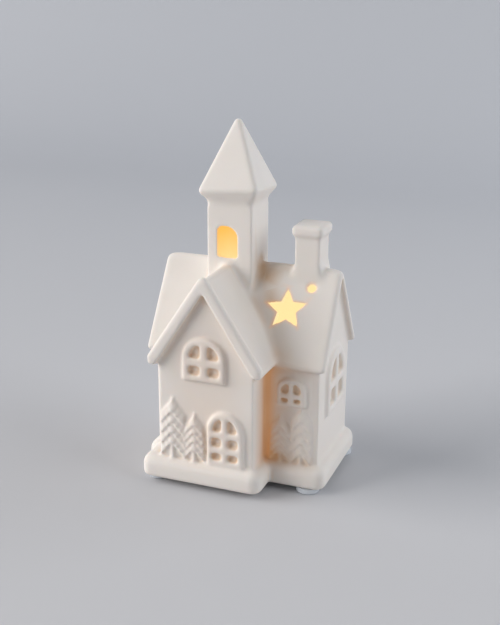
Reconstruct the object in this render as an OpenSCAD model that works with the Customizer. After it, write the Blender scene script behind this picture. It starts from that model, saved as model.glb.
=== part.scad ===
// Ceramic village house with a battery light unit under its floor.
// Millimetres, +Z up, standing on Z = 0, with the origin under the middle of the plinth.
// The front of the house faces -Y, and the wing with the large gable stands in front of the body.

/* [Main body] */
// Width of the main body, from gable wall to gable wall
body_w = 77; // [73:0.2:91]
// Depth of the main body
body_d = 45; // [43:0.5:54]
// Wall thickness of the casting
wall_t = 3; // [2.4:0.1:3.6]
// Height of the main roof's outer face at the eaves
eave_z = 59.4; // [55.4:0.5:63.4]
// Slope of the main roof, in degrees
roof_slope = 58.5; // [56:0.5:59.5]
// How far the eaves stand out past the walls
eave_over = 2.3; // [1.9:0.1:3.1]
// How far the roof stands out past the right gable wall
gable_over = 2.9; // [2:0.1:3.4]
// How far the roof stands out past the left gable wall
gable_over_left = 4.1; // [3:0.1:4.1]
// Thickness of the roof, square to its slope
roof_t = 3.2; // [2.6:0.1:3.8]
// Rounding of the roof's eaves and gable edges
eave_r = 1.8; // [1.2:0.1:2.1]
// Rounding of the roof's ridges
ridge_r = 2.6; // [1.5:0.1:3.2]

/* [Front wing] */
// Width of the wing
wing_w = 44.6; // [42:0.2:47]
// Distance of the wing's left wall from the body's left wall
wing_in = 7.6; // [6.6:0.2:9]
// How far the wing stands out in front of the main body
wing_out = 14.2; // [12:0.2:18]
// Height of the wing roof's outer face at its eaves
wing_eave_z = 59.9; // [58:0.5:63]
// Slope of the wing's roof, in degrees
wing_slope = 56.5; // [55:0.5:58]
// How far the wing's eaves stand out past its walls
wing_eave_over = 4.4; // [3:0.1:5]
// How far the wing's roof stands out past its gable wall
wing_gable_over = 3.3; // [2.6:0.1:3.6]
// Thickness of the bargeboard that frames the gable, square to the slope
barge_t = 4.2; // [3.4:0.1:4.8]
// Width of the raised rim along the front of the wing's roof
rim_w = 3.4; // [2.8:0.1:5]
// Height of that rim above the roof
rim_lift = 1; // [0.6:0.1:1.6]
// How much lower the wing's roof lies at its front than at the main ridge
wing_fall = 1.1; // [0.6:0.1:1.4]

/* [Tower] */
// Place of the tower's middle, right of the wing's middle
tower_right = 0.9; // [-0.9:0.2:1.9]
// Place of the tower's middle, in front of the ridge
tower_front = 0.5; // [-0.7:0.2:2.1]
// Width of the square tower
tower_w = 21.3; // [19.3:0.2:23.3]
// Height of the tower roof's eaves
tower_eave_z = 129.7; // [122:0.5:140]
// Height of the pointed roof, from its eaves to its tip
spire_h = 30.3; // [26:0.5:36]
// How far the pointed roof stands out past the tower walls
spire_over = 3.1; // [2.4:0.1:3.6]
// Depth of the slanted soffit below the pointed roof's eaves
soffit_h = 2.8; // [2.2:0.1:4]
// Rounding of the pointed roof's edges
spire_r = 2; // [1.4:0.1:2.4]
// How much higher the eaves lie at the front right corner
spire_lift = 1.8; // [1:0.1:2.2]
// Rounding of the tip
tip_r = 1.9; // [1.4:0.1:2.4]

/* [Chimney] */
// Distance of the chimney's middle from the right gable wall
chimney_in = 12.5; // [11.3:0.2:13.7]
// Place of the chimney's middle, behind the ridge
chimney_back = 2; // [0:0.2:3]
// Width of the stack
chimney_w = 11.5; // [10.5:0.1:13]
// Depth of the stack
chimney_d = 13.8; // [12.6:0.1:14.4]
// Height of the chimney's top
chimney_z = 116.3; // [112.3:0.5:121.3]
// Height of the rounded cap
cap_h = 5.1; // [4.4:0.1:6]
// How far the cap stands out past the stack
cap_over = 1.4; // [1:0.1:1.8]
// Rounding of the cap
cap_r = 1.9; // [1.2:0.1:2.1]
// Height of the flare below the cap
flare_h = 1; // [0.6:0.1:2]
// How far the stack's foot spreads on each side
stack_foot_out = 1.8; // [1.2:0.1:2.4]
// Height over which the stack's foot spreads
stack_foot_h = 8; // [6:0.5:10]

/* [Plinth and feet] */
// How far the plinth stands out past the walls
plinth_out = 4.1; // [3.6:0.1:5]
// How far the wing's plinth stands out past the wing's left wall
wing_base_out = 8.4; // [6:0.2:8.6]
// Height of the plinth's top above the table
plinth_z = 13; // [12.5:0.5:16]
// Rounding of the plinth's top edge
plinth_r = 4.8; // [3.5:0.1:5]
// Rounding of the plinth's bottom edge
plinth_low_r = 2; // [1.2:0.1:2.6]
// Thickness of the casting's floor
floor_t = 4.5; // [4:0.1:5.5]
// Diameter of a stick-on foot
foot_d = 10.8; // [8:0.2:11.2]
// Height of a foot
foot_h = 2.6; // [2.2:0.1:3.4]
// Rounding of a foot's lower edge
foot_r = 0.9; // [0.4:0.1:1.1]
// Distance of the feet's edges from the plinth's sides
foot_in = 0.2; // [0.1:0.1:1]
// How much further back the front left foot sits
left_foot_in = 3.6; // [2.6:0.2:4.6]
// How much further left the front right foot sits
right_foot_in = 2.8; // [1.8:0.2:3.8]

/* [Window reliefs] */
// How far the window frames stand out of the walls
frame_relief = 1.4; // [1:0.1:1.8]
// Depth of the panes below the wall's face
pane_sink = 0.6; // [0.3:0.1:0.9]
// Width of the wing's upper window
gable_win_w = 19.8; // [17:0.2:21]
// Height of the wing's upper window
gable_win_h = 19.8; // [17:0.2:21]
// Height of its sill above the plinth
gable_win_z = 38.5; // [37:0.5:40]
// Width of the wing's lower window
door_win_w = 17.4; // [15:0.2:18]
// Height of the wing's lower window
door_win_h = 25.4; // [23:0.2:27]
// Width of the window on the wall beside the wing
side_win_w = 13.1; // [12:0.1:14.6]
// Height of the window on the wall beside the wing
side_win_h = 13; // [12:0.1:14]
// Height of its sill above the plinth
side_win_z = 26.9; // [26:0.1:28]
// Width of the large windows on the end walls
end_win_w = 26; // [23:0.5:28]
// Height of the large windows on the end walls
end_win_h = 29; // [26:0.5:32]
// Height of their sills above the plinth
end_win_z = 19.5; // [18:0.5:21]

/* [Tree reliefs] */
// How far the boughs stand out of the walls
bough_relief = 1.6; // [1.2:0.1:1.8]
// How far the ground between the boughs stands out of the walls
needle_relief = 0.5; // [0.3:0.1:0.8]
// Width of the tallest tree
tree_w = 13.8; // [12:0.2:14.6]
// Height of the tallest tree
tree_h = 27.6; // [26:0.2:30]

/* [Star and round hole] */
// Radius of the star's tips
star_r = 9.2; // [7:0.1:9.4]
// Radius of the star's inner corners
star_in_r = 4.2; // [3.2:0.1:4.8]
// Turn of the star, in degrees
star_turn = 5.5; // [0:0.5:12]
// Distance of the star's middle from the right gable wall
star_in = 19.1; // [18.5:0.1:19.6]
// Distance of the star's middle from the ridge, down the slope
star_down = 23; // [22.4:0.1:23.6]
// Diameter of the round hole
spark_d = 3.6; // [2.4:0.1:4]
// Distance of the round hole from the right gable wall
spark_in = 9.6; // [8.6:0.1:10.1]
// Distance of the round hole from the ridge, down the slope
spark_down = 12.3; // [11.9:0.1:12.7]

/* [Tower window] */
// Width of the lit opening in the tower
lamp_win_w = 9.2; // [8:0.1:10]
// Height of the lit opening
lamp_win_h = 13.6; // [12:0.1:15]
// Height of its sill above the table
lamp_win_z = 100.6; // [100:0.2:103]
// Place of the opening's middle, left of the tower's middle
lamp_win_left = 1; // [0:0.1:1.2]

/* [Light unit] */
// Outer diameter of the housing
unit_d = 35; // [35:0.1:36]
// Height of the housing below its cap
unit_h = 19; // [18.6:0.1:22]
// Wall of the housing
unit_wall = 1.6; // [1.4:0.05:1.7]
// Radial room for the soft ring between the housing and the floor hole
ring_room = 2.1; // [2:0.05:2.4]
// How far the flange stands out past the floor hole
flange_lap = 1.4; // [1.2:0.05:1.8]
// Thickness of the flange
flange_t = 1.8; // [1.7:0.05:2.1]
// Thickness of the cap over the housing
lid_t = 1.6; // [1.2:0.1:2]

/* [Batteries] */
// Diameter of a button cell
cell_d = 11.6; // [11:0.1:11.6]
// Thickness of a button cell
cell_t = 5.4; // [5:0.05:5.4]
// Width of the battery bay
bay_w = 12.4; // [12.2:0.05:12.4]
// Length of the battery bay
bay_l = 20; // [19.8:0.05:20.2]
// Thickness of the battery door
door_t = 1.5; // [1.4:0.05:1.6]
// Margin of the door round the bay
door_lap = 0.7; // [0.6:0.05:0.8]

/* [Switch and board] */
// Length of the slide switch
switch_l = 9; // [8:0.1:10]
// Width of the slide switch
switch_w = 4; // [3.6:0.1:4.4]
// Height of the slide switch
switch_h = 3.5; // [3:0.1:3.8]
// Length and width of the switch knob
knob_w = 2; // [1.8:0.1:2.2]
// Travel of the switch knob
switch_travel = 2; // [1.6:0.1:2.2]
// How far the knob stands out below the flange
knob_out = 0.9; // [0.5:0.1:1.4]
// Diameter of the light-emitting diode
led_d = 5; // [4.6:0.1:5.2]
// Height of the diode above the cap
led_h = 7; // [6:0.1:9]

/* [Fits] */
// Radial clearance of what slides or turns
run_gap = 0.05; // [0.03:0.01:0.08]
// Gap between parts that only stand beside each other
free_gap = 0.3; // [0.2:0.02:0.35]

/* [Hidden] */

$fn = 48;
soft_fn = 24;
arc_steps = 14;
// Overrun of every cut
over = 1;

// Places of the walls
plinth_d = wing_out + body_d + 2 * plinth_out;
back_y = plinth_d / 2 - plinth_out;
front_y = back_y - body_d;
ridge_y = (back_y + front_y) / 2;
wing_y = front_y - wing_out;
wing_left = -body_w / 2 + wing_in;
wing_right = wing_left + wing_w;
wing_x = (wing_left + wing_right) / 2;
side_w = body_w / 2 - wing_right;
side_x = (body_w / 2 + wing_right) / 2;

// Roofs, where a top is the height at which the two outer faces would meet
roof_half = body_d / 2 + eave_over;
roof_top = eave_z + roof_half * tan(roof_slope);
wing_half = wing_w / 2 + wing_eave_over;
wing_top = wing_eave_z + wing_half * tan(wing_slope);
wing_roof_y = wing_y - wing_gable_over;
rim_top = wing_top - wing_fall + rim_lift / cos(wing_slope);
tip_z = tower_eave_z + spire_h;
chimney_x = body_w / 2 - chimney_in;
chimney_y = ridge_y + chimney_back;
tower_x = wing_x + tower_right;
tower_y = ridge_y - tower_front;
star_x = body_w / 2 - star_in;
spark_x = body_w / 2 - spark_in;

// Bars of the windows: width of the rim, width of the bars, and heights of the rails as shares
gable_win_rim = 2.8;
gable_win_bar = 3.6;
gable_rail_shares = [0.44];
door_win_rim = 2.5;
door_win_bar = 3.2;
door_rail_shares = [0.29, 0.575];
side_win_rim = 1.9;
side_win_bar = 2.2;
side_rail_shares = [0.38];
end_win_rim = 3.7;
end_win_bar = 3.8;
end_rail_shares = [0.455];
arch_share = 0.42;
// Places of the windows and trees beside their wall's middle
gable_win_off = -0.2;
door_win_off = 9.4;
tree_off = -15.6;
small_tree_off = -5.2;
side_win_off = 0;
side_tree_off = [-4.8, 5];
side_tree_w = 10.8;
side_tree_h = [21.2, 25.8];
small_tree_w = 11;
small_tree_h = 21.4;
// Outline of a tree, as shares of its width and height
trunk_w_share = 0.17;
trunk_top_share = 0.5;
bough_droop_share = 0.3;
bough_top_share = 0.8;
bough_lean_share = 0.5;
bough_deep_share = 1.2;
bough_foot_share = 0.05;
needle_in_share = 0.62;
// Height of a tree for each tier of boughs, and a bough's thickness as a share of the tiers' pitch
tier_h = 5.4;
bough_t_share = 0.62;
// Corner radii of the lit opening, the tight left one and the wide right one
lamp_left_r = 2.4;
lamp_right_r = 5.4;

// Light unit: heights are above the flange's lower face, and Y is from the unit's middle
unit_r = unit_d / 2;
unit_in_r = unit_r - unit_wall;
hole_r = unit_r + ring_room;
flange_r = hole_r + flange_lap;
rebate_r = flange_r + free_gap;
rebate_h = flange_t + run_gap * 2;
bay_y0 = -12.6;
bay_y1 = bay_y0 + bay_w;
bay_wall = 1.2;
cell_low = 0.4;
cell_z = door_t + cell_low + cell_d / 2;
bay_h = cell_z + cell_d / 2 + free_gap;
door_x = bay_l / 2 + door_lap;
hinge_y = bay_y0;
hinge_z = door_t / 2;
hinge_pin_r = 0.55;
hinge_pin_l = 1.1;
door_end_y = bay_y1 + door_lap;
screw_y = 3;
screw_head_r = 1.5;
screw_head_h = 0.8;
screw_r = 0.7;
screw_tip = 3;
ear_r = 2.6;
boss_r = 2.1;
boss_h = 4.2;
// Room for the captive screw to swing out of its boss with the door
boss_gap = 0.25;
switch_y = 9.6;
post_r = 1.2;
post_x = 7;
board_z = flange_t + switch_h + 0.9;
board_t = 1;
board_y0 = 3.6;
board_y1_share = 0.805;
board_y1 = unit_in_r * board_y1_share;
board_l = 2 * sqrt(pow(unit_in_r - free_gap, 2) - pow(board_y1, 2));
pin_r = 0.3;
pin_pitch = 2.5;
lid_lip = 1.2;
lid_lip_t = 0.8;
lid_screw_y = 2.4;
lid_post_r = 2.1;
lid_post_lap = 0.38;
lid_screw_x = sqrt(pow(unit_in_r - lid_post_r - lid_post_lap, 2) - pow(lid_screw_y, 2));
lid_screw_r = 0.75;
lid_head_r = 1.5;
lid_head_h = 1;
lid_screw_l = 7;
ring_t = 1.4;
ring_h = 4.8;
ring_bead_r = 0.55;
hole_h = max(floor_t, flange_t + ring_h + free_gap);
collar_over = 0.4;
collar_h = 1;
lead_r = 0.25;
lead_pitch = 2.54;
lead_y = 5;
contact_t = 0.4;
contact_w = 7;
contact_low = 3;
tab_w = 2;
tab_up = 1.6;
leaf_w = 4;
wire_r = 0.6;
slot_l = knob_w + switch_travel;
resistor_size = [2, 1.2, 0.6];
resistor_x = -4;

// Colours
bisque = [0.93, 0.91, 0.88];
clear_blue = [0.8, 0.88, 0.95];
white_plastic = [0.88, 0.88, 0.86];
black_plastic = [0.12, 0.12, 0.13];
steel = [0.74, 0.75, 0.77];
board_green = [0.12, 0.42, 0.22];
lens_amber = [1, 0.86, 0.5];
wire_red = [0.78, 0.1, 0.08];
soft_grey = [0.8, 0.81, 0.82];

// Points of an elliptic arc
function arc(cx, cy, rx, ry, from, to) =
    [for (i = [0:arc_steps]) let (a = from + (to - from) * i / arc_steps) [cx + rx * cos(a), cy + ry * sin(a)]];

// Outline of an arched window, with its sill on the X axis
function arch(w, h, rise) = concat([[-w / 2, 0], [w / 2, 0]], arc(0, h - rise, w / 2, rise, 0, 180));

// A gabled end wall: walls half_w wide up to the given slope, which meets at top
function gable(half_w, low, top, slope) =
    [[-half_w, low], [half_w, low], [half_w, top - half_w * tan(slope)], [0, top],
     [-half_w, top - half_w * tan(slope)]];

// A rounded block by its low and high corners
module round_block(low, high, r, low_r) {
    hull() {
        for (x = [low[0], high[0]], y = [low[1], high[1]]) {
            sx = x == low[0] ? 1 : -1;
            sy = y == low[1] ? 1 : -1;
            translate([x + sx * r, y + sy * r, high[2] - r]) sphere(r, $fn = soft_fn);
            translate([x + sx * r, y + sy * r, low[2] + low_r])
                rotate_extrude($fn = soft_fn) translate([r - low_r, 0]) circle(low_r, $fn = soft_fn);
        }
    }
}

// A rounded gabled roof along Y, from y0 to y1, with its outer faces meeting at top,
// and with its end at y0 lower by fall
module tent(half_w, top, slope, y0, y1, fall = 0) {
    top_r = min(ridge_r, (y1 - y0) / 2);
    eave_x = half_w - eave_r;
    hull() {
        for (x = [-eave_x, eave_x], end = [[y0 + eave_r, fall], [y1 - eave_r, 0]])
            translate([x, end[0], top - end[1] - eave_x * tan(slope) - eave_r / cos(slope)])
                sphere(eave_r, $fn = soft_fn);
        for (end = [[y0 + top_r, fall], [y1 - top_r, 0]])
            translate([0, end[0], top - end[1] - top_r / cos(slope)]) sphere(top_r, $fn = soft_fn);
    }
}

// What lies below a gabled roof's shell, as a prism along Y
module under_roof(half_w, low, top, slope, t, y0, y1) {
    translate([0, y1, 0]) rotate([90, 0, 0]) linear_extrude(y1 - y0)
        polygon(gable(half_w, low, top - t / cos(slope), slope));
}

// Turns a shape along Y into one along X, standing over the main ridge
module along_x() {
    translate([0, ridge_y, 0]) rotate([0, 0, 90]) children();
}

// Draws on a wall: X runs to the viewer's right, Y up, and Z out of the wall
module on_front(x, y) { translate([x, y, plinth_z]) rotate([90, 0, 0]) children(); }
module on_right() { translate([body_w / 2, ridge_y, plinth_z]) rotate([90, 0, 90]) children(); }
module on_left() { translate([-body_w / 2, ridge_y, plinth_z]) rotate([90, 0, -90]) children(); }
module on_back(x) { translate([x, back_y, plinth_z]) rotate([90, 0, 180]) children(); }

// The openings between a window's bars
module panes(w, h, rim, bar, rail_shares) {
    difference() {
        translate([0, rim]) polygon(arch(w - 2 * rim, h - 2 * rim, h * arch_share - rim / 2));
        translate([-bar / 2, 0]) square([bar, h]);
        for (share = rail_shares) translate([-w / 2, h * share - bar / 2]) square([w, bar]);
    }
}

// A raised arched window frame with its bars
module window_frame(w, h, rim, bar, rail_shares) {
    translate([0, 0, -pane_sink - over]) linear_extrude(frame_relief + pane_sink + over) difference() {
        polygon(arch(w, h, h * arch_share));
        panes(w, h, rim, bar, rail_shares);
    }
}

// What the panes sink into the wall
module window_sink(w, h, rim, bar, rail_shares) {
    translate([0, 0, -pane_sink]) linear_extrude(frame_relief + over) panes(w, h, rim, bar, rail_shares);
}

// One pair of drooping boughs
module boughs(w, droop, t) {
    polygon([[0, 0], [w / 2, -droop], [w / 2 - t * bough_lean_share, -droop - t],
             [0, -t * bough_deep_share], [-w / 2 + t * bough_lean_share, -droop - t], [-w / 2, -droop]]);
}

// A conifer in low relief, standing on the plinth; its boughs end where its wall ends, left_w from its stem
module tree(w, h, left_w) {
    tiers = max(3, round(h / tier_h));
    droop = h * bough_droop_share;
    pitch = (h * (1 - bough_foot_share) - droop) / (tiers - 1 + bough_t_share);
    t = pitch * bough_t_share;
    function tier_w(i) = w * (bough_top_share + (1 - bough_top_share) * i / (tiers - 1));
    translate([0, 0, -over]) intersection() {
        union() {
            linear_extrude(needle_relief + over)
                polygon([[-w * needle_in_share / 2, t], [w * needle_in_share / 2, t],
                         [w * needle_in_share / 2, h - pitch - droop], [0, h],
                         [-w * needle_in_share / 2, h - pitch - droop]]);
            linear_extrude(bough_relief + over) {
                for (i = [0:tiers - 1]) translate([0, h - i * pitch]) boughs(tier_w(i), droop, t);
                translate([-w * trunk_w_share / 2, -over]) square([w * trunk_w_share, h * trunk_top_share]);
            }
        }
        translate([-left_w, -over, 0]) cube([left_w + w, h + 2 * over, bough_relief + 2 * over]);
    }
}

// Windows of the house, either as raised frames or as sunken panes
module each_window(sunken) {
    module one(w, h, rim, bar, rails) {
        if (sunken) window_sink(w, h, rim, bar, rails);
        else window_frame(w, h, rim, bar, rails);
    }
    on_front(wing_x + gable_win_off, wing_y) translate([0, gable_win_z, 0])
        one(gable_win_w, gable_win_h, gable_win_rim, gable_win_bar, gable_rail_shares);
    on_front(wing_x + door_win_off, wing_y)
        one(door_win_w, door_win_h, door_win_rim, door_win_bar, door_rail_shares);
    on_front(side_x + side_win_off, front_y) translate([0, side_win_z, 0])
        one(side_win_w, side_win_h, side_win_rim, side_win_bar, side_rail_shares);
    on_right() translate([0, end_win_z, 0])
        one(end_win_w, end_win_h, end_win_rim, end_win_bar, end_rail_shares);
    on_left() translate([0, end_win_z, 0])
        one(end_win_w, end_win_h, end_win_rim, end_win_bar, end_rail_shares);
    for (x = [-body_w / 4, body_w / 4])
        on_back(x) translate([0, end_win_z, 0])
            one(gable_win_w, gable_win_h, gable_win_rim, gable_win_bar, gable_rail_shares);
}

// All the trees on the walls
module each_tree() {
    on_front(wing_x + tree_off, wing_y) tree(tree_w, tree_h, wing_w / 2 + tree_off);
    on_front(wing_x + small_tree_off, wing_y) tree(small_tree_w, small_tree_h, small_tree_w);
    for (i = [0, 1]) on_front(side_x + side_tree_off[i], front_y)
        tree(side_tree_w, side_tree_h[i], side_w / 2 + side_tree_off[i]);
}

// The star's outline, with one tip up
function star_points() = [for (i = [0:9]) let (r = i % 2 == 0 ? star_r : star_in_r, a = 90 + star_turn + 36 * i)
    [r * cos(a), r * sin(a)]];

// Draws on the front slope of the main roof, with Z square to the slope
module on_slope(x, down) {
    translate([x, ridge_y - down * cos(roof_slope), roof_top - down * sin(roof_slope)])
        rotate([roof_slope, 0, 0]) children();
}

// The lit opening's outline, with its sill on the X axis
function lamp_points() = concat([[-lamp_win_w / 2, 0], [lamp_win_w / 2, 0]],
    arc(lamp_win_w / 2 - lamp_right_r, lamp_win_h - lamp_right_r, lamp_right_r, lamp_right_r, 0, 90),
    arc(-lamp_win_w / 2 + lamp_left_r, lamp_win_h - lamp_left_r, lamp_left_r, lamp_left_r, 90, 180));

// A square pyramid with its base on Z = 0
module pyramid(half_w, h) {
    intersection() {
        side_prism(half_w, h);
        rotate([0, 0, 90]) side_prism(half_w, h);
    }
}

// A triangular prism along Y with its base on Z = 0
module side_prism(half_w, h) {
    translate([0, half_w, 0]) rotate([90, 0, 0])
        linear_extrude(2 * half_w) polygon([[-half_w, 0], [half_w, 0], [0, h]]);
}

// The outside of the casting
module casting_outside() {
    half = body_w / 2;
    round_block([-half - plinth_out, front_y - plinth_out, foot_h],
                [half + plinth_out, back_y + plinth_out, plinth_z], plinth_r, plinth_low_r);
    round_block([wing_left - wing_base_out, wing_y - plinth_out, foot_h],
                [wing_right + plinth_out, ridge_y, plinth_z], plinth_r, plinth_low_r);
    along_x() under_roof(body_d / 2, plinth_z - over, roof_top, roof_slope, roof_t, -half, half);
    translate([wing_x, 0, 0])
        under_roof(wing_w / 2, plinth_z - over, wing_top, wing_slope, roof_t, wing_y, ridge_y);
    difference() {
        along_x() tent(roof_half, roof_top, roof_slope, -half - gable_over, half + gable_over_left);
        along_x() under_roof(roof_half, 0, roof_top, roof_slope, roof_t, -half - gable_over - over, -half);
        along_x() under_roof(roof_half, 0, roof_top, roof_slope, roof_t, half, half + gable_over_left + over);
    }
    difference() {
        translate([wing_x, 0, 0]) {
            tent(wing_half, wing_top, wing_slope, wing_roof_y, tower_y, wing_fall);
            tent(wing_half, rim_top, wing_slope, wing_roof_y, wing_roof_y + rim_w);
        }
        translate([wing_x, 0, 0])
            under_roof(wing_half, 0, wing_top - wing_fall, wing_slope, barge_t, wing_roof_y - over, wing_y);
    }
    tower();
    chimney();
    each_window(false);
    each_tree();
}

// The square tower with its pointed roof
module tower() {
    half = tower_w / 2;
    eave = half + spire_over - spire_r;
    translate([tower_x - half, tower_y - half, plinth_z])
        cube([tower_w, tower_w, tower_eave_z - soffit_h - plinth_z]);
    translate([tower_x, tower_y, 0]) hull() {
        for (x = [-1, 1], y = [-1, 1])
            translate([x * eave, y * eave, tower_eave_z + (x > y ? spire_lift : 0)])
                sphere(spire_r, $fn = soft_fn);
        translate([0, 0, tip_z - tip_r]) sphere(tip_r, $fn = soft_fn);
        translate([-half, -half, tower_eave_z - soffit_h - spire_r]) cube([tower_w, tower_w, spire_r]);
    }
}

// The chimney stack with its rounded cap
module chimney() {
    w = chimney_w + 2 * cap_over;
    d = chimney_d + 2 * cap_over;
    half = chimney_w / 2;
    foot = half + stack_foot_out;
    foot_z = roof_top - (chimney_d / 2 - chimney_back) * tan(roof_slope);
    translate([chimney_x, chimney_y + chimney_d / 2, 0]) rotate([90, 0, 0]) linear_extrude(chimney_d)
        polygon([[-foot, eave_z], [foot, eave_z], [foot, foot_z], [half, foot_z + stack_foot_h],
                 [half, chimney_z - cap_h / 2], [-half, chimney_z - cap_h / 2],
                 [-half, foot_z + stack_foot_h], [-foot, foot_z]]);
    translate([chimney_x, chimney_y, chimney_z]) hull() {
        for (x = [-1, 1], y = [-1, 1], z = [-cap_h + cap_r, -cap_r])
            translate([x * (w / 2 - cap_r), y * (d / 2 - cap_r), z]) sphere(cap_r, $fn = soft_fn);
        translate([-half + cap_root_in, -chimney_d / 2 + cap_root_in, -cap_h - flare_h])
            cube([chimney_w - 2 * cap_root_in, chimney_d - 2 * cap_root_in, flare_h]);
    }
}

cap_root_in = 0.5;

// The rooms inside the casting
module casting_inside() {
    low = foot_h + floor_t;
    tower_in = tower_w / 2 - wall_t;
    stack_w = chimney_w - 2 * wall_t;
    stack_d = chimney_d - 2 * wall_t;
    along_x() under_roof(body_d / 2 - wall_t, low, roof_top, roof_slope, roof_t,
                         -body_w / 2 + wall_t, body_w / 2 - wall_t);
    translate([wing_x, 0, 0])
        under_roof(wing_w / 2 - wall_t, low, wing_top, wing_slope, roof_t, wing_y + wall_t, ridge_y);
    translate([tower_x - tower_in, tower_y - tower_in, eave_z])
        cube([2 * tower_in, 2 * tower_in, tower_eave_z - soffit_h - eave_z]);
    translate([tower_x, tower_y, tower_eave_z - soffit_h])
        pyramid(tower_in, tower_in * spire_h / (tower_w / 2 + spire_over));
    translate([chimney_x - stack_w / 2, chimney_y - stack_d / 2, eave_z])
        cube([stack_w, stack_d, chimney_z - cap_h - eave_z]);
}

// The slip-cast house, one hollow casting with its reliefs and openings
module ceramic_house() color(bisque) {
    difference() {
        casting_outside();
        casting_inside();
        each_window(true);
        on_slope(star_x, star_down) translate([0, 0, -roof_t - over])
            linear_extrude(roof_t + 2 * over) polygon(star_points());
        on_slope(spark_x, spark_down) translate([0, 0, -roof_t - over])
            cylinder(d = spark_d, h = roof_t + 2 * over);
        translate([tower_x - lamp_win_left, tower_y - tower_w / 2 + wall_t + over, lamp_win_z])
            rotate([90, 0, 0]) linear_extrude(wall_t + 2 * over) polygon(lamp_points());
        translate([tower_x, tower_y, foot_h - over]) cylinder(r = hole_r, h = hole_h + over);
        translate([tower_x, tower_y, foot_h - over]) cylinder(r = rebate_r, h = rebate_h + over);
    }
}

// A clear stick-on foot
module foot(x, y) color(clear_blue) {
    r = foot_d / 2;
    translate([x, y, 0]) rotate_extrude()
        polygon(concat([[0, 0]], arc(r - foot_r, foot_r, foot_r, foot_r, -90, 0), [[r, foot_h], [0, foot_h]]));
}
foot_edge = foot_in + foot_d / 2;
module foot_front_left()
    foot(wing_left - wing_base_out + foot_edge, wing_y - plinth_out + foot_edge + left_foot_in);
module foot_front_right()
    foot(body_w / 2 + plinth_out - foot_edge - right_foot_in, front_y - plinth_out + foot_edge);
module foot_back_left() foot(-body_w / 2 - plinth_out + foot_edge, back_y + plinth_out - foot_edge);
module foot_back_right() foot(body_w / 2 + plinth_out - foot_edge, back_y + plinth_out - foot_edge);

// Stands the light unit's pieces in the floor hole
module in_unit() { translate([tower_x, tower_y, foot_h]) children(); }

// A straight rod between two points
module rod(a, b, r) {
    d = b - a;
    l = norm(d);
    translate(a) rotate([0, acos(d[2] / l), atan2(d[1], d[0])]) cylinder(r = r, h = l);
}

// A bent wire through its points
module bent_wire(points, r) {
    for (i = [0:len(points) - 2]) rod(points[i], points[i + 1], r);
    for (i = [1:len(points) - 2]) translate(points[i]) sphere(r);
}

// The moulded housing: flange, cup, battery bay and posts
module light_housing() color(white_plastic) in_unit() difference() {
    union() {
        cylinder(r = flange_r, h = flange_t);
        difference() {
            cylinder(r = unit_r, h = unit_h);
            translate([0, 0, flange_t]) cylinder(r = unit_in_r, h = unit_h);
        }
        intersection() {
            translate([-bay_l / 2 - bay_wall, bay_y0 - 2 * bay_wall, 0])
                cube([bay_l + 2 * bay_wall, bay_w + 3 * bay_wall, bay_h + bay_wall]);
            cylinder(r = unit_r, h = unit_h);
        }
        translate([0, screw_y, 0]) cylinder(r = boss_r, h = boss_h);
        for (s = [-1, 1]) {
            translate([s * post_x, switch_y, 0]) cylinder(r = post_r, h = board_z);
            translate([s * lid_screw_x, lid_screw_y, 0]) cylinder(r = lid_post_r, h = unit_h);
        }
    }
    translate([-bay_l / 2, bay_y0, -over]) cube([bay_l, bay_w, bay_h + over]);
    door_recess();
    translate([0, screw_y, 0]) cylinder(r = screw_r + boss_gap, h = screw_tip + free_gap);
    translate([-slot_l / 2 - free_gap, switch_y - knob_w / 2 - free_gap, -over])
        cube([slot_l + 2 * free_gap, knob_w + 2 * free_gap, flange_t + 2 * over]);
    for (s = [-1, 1]) {
        translate([s * lid_screw_x, lid_screw_y, unit_h - lid_screw_l])
            cylinder(r = lid_screw_r + run_gap, h = lid_screw_l + over);
        translate([s * (bay_l / 2 - contact_t) - contact_t, bay_mid - tab_w / 2 - run_gap, bay_h - over])
            cube([2 * contact_t, tab_w + 2 * run_gap, bay_wall + 2 * over]);
    }
}
bay_mid = (bay_y0 + bay_y1) / 2;

// The recess that the door lies in, with holes for its hinge pins
module door_recess() {
    gap = free_gap;
    translate([-door_x - gap, hinge_y, -over])
        cube([2 * (door_x + gap), door_end_y + gap - hinge_y, over + door_t + run_gap]);
    translate([-door_x - gap, hinge_y, hinge_z]) rotate([0, 90, 0])
        cylinder(r = door_t / 2 + gap, h = 2 * (door_x + gap));
    translate([-door_x - gap, hinge_y - door_t / 2 - gap, -over])
        cube([2 * (door_x + gap), door_t + 2 * gap, over + hinge_z]);
    translate([-door_x - gap - hinge_pin_l, hinge_y, hinge_z]) rotate([0, 90, 0])
        cylinder(r = hinge_pin_r + run_gap, h = 2 * (door_x + gap + hinge_pin_l));
    translate([0, screw_y, -over]) cylinder(r = ear_r + gap, h = over + door_t + run_gap);
    translate([-ear_r - gap, 0, -over]) cube([2 * (ear_r + gap), screw_y, over + door_t + run_gap]);
}

// The soft ring that holds the unit in the floor hole
module grip_ring() color(soft_grey) in_unit() {
    inner = unit_r + run_gap;
    outer = inner + ring_t;
    bead_x = hole_r - run_gap - ring_bead_r;
    translate([0, 0, flange_t]) rotate_extrude() {
        translate([inner, 0]) square([ring_t, ring_h]);
        for (z = [ring_h * bead_low_share, ring_h * bead_high_share]) {
            translate([bead_x, z]) circle(ring_bead_r);
            translate([outer - over / 2, z - ring_bead_r]) square([bead_x - outer + over / 2, 2 * ring_bead_r]);
        }
    }
}
bead_low_share = 0.3;
bead_high_share = 0.82;

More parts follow.
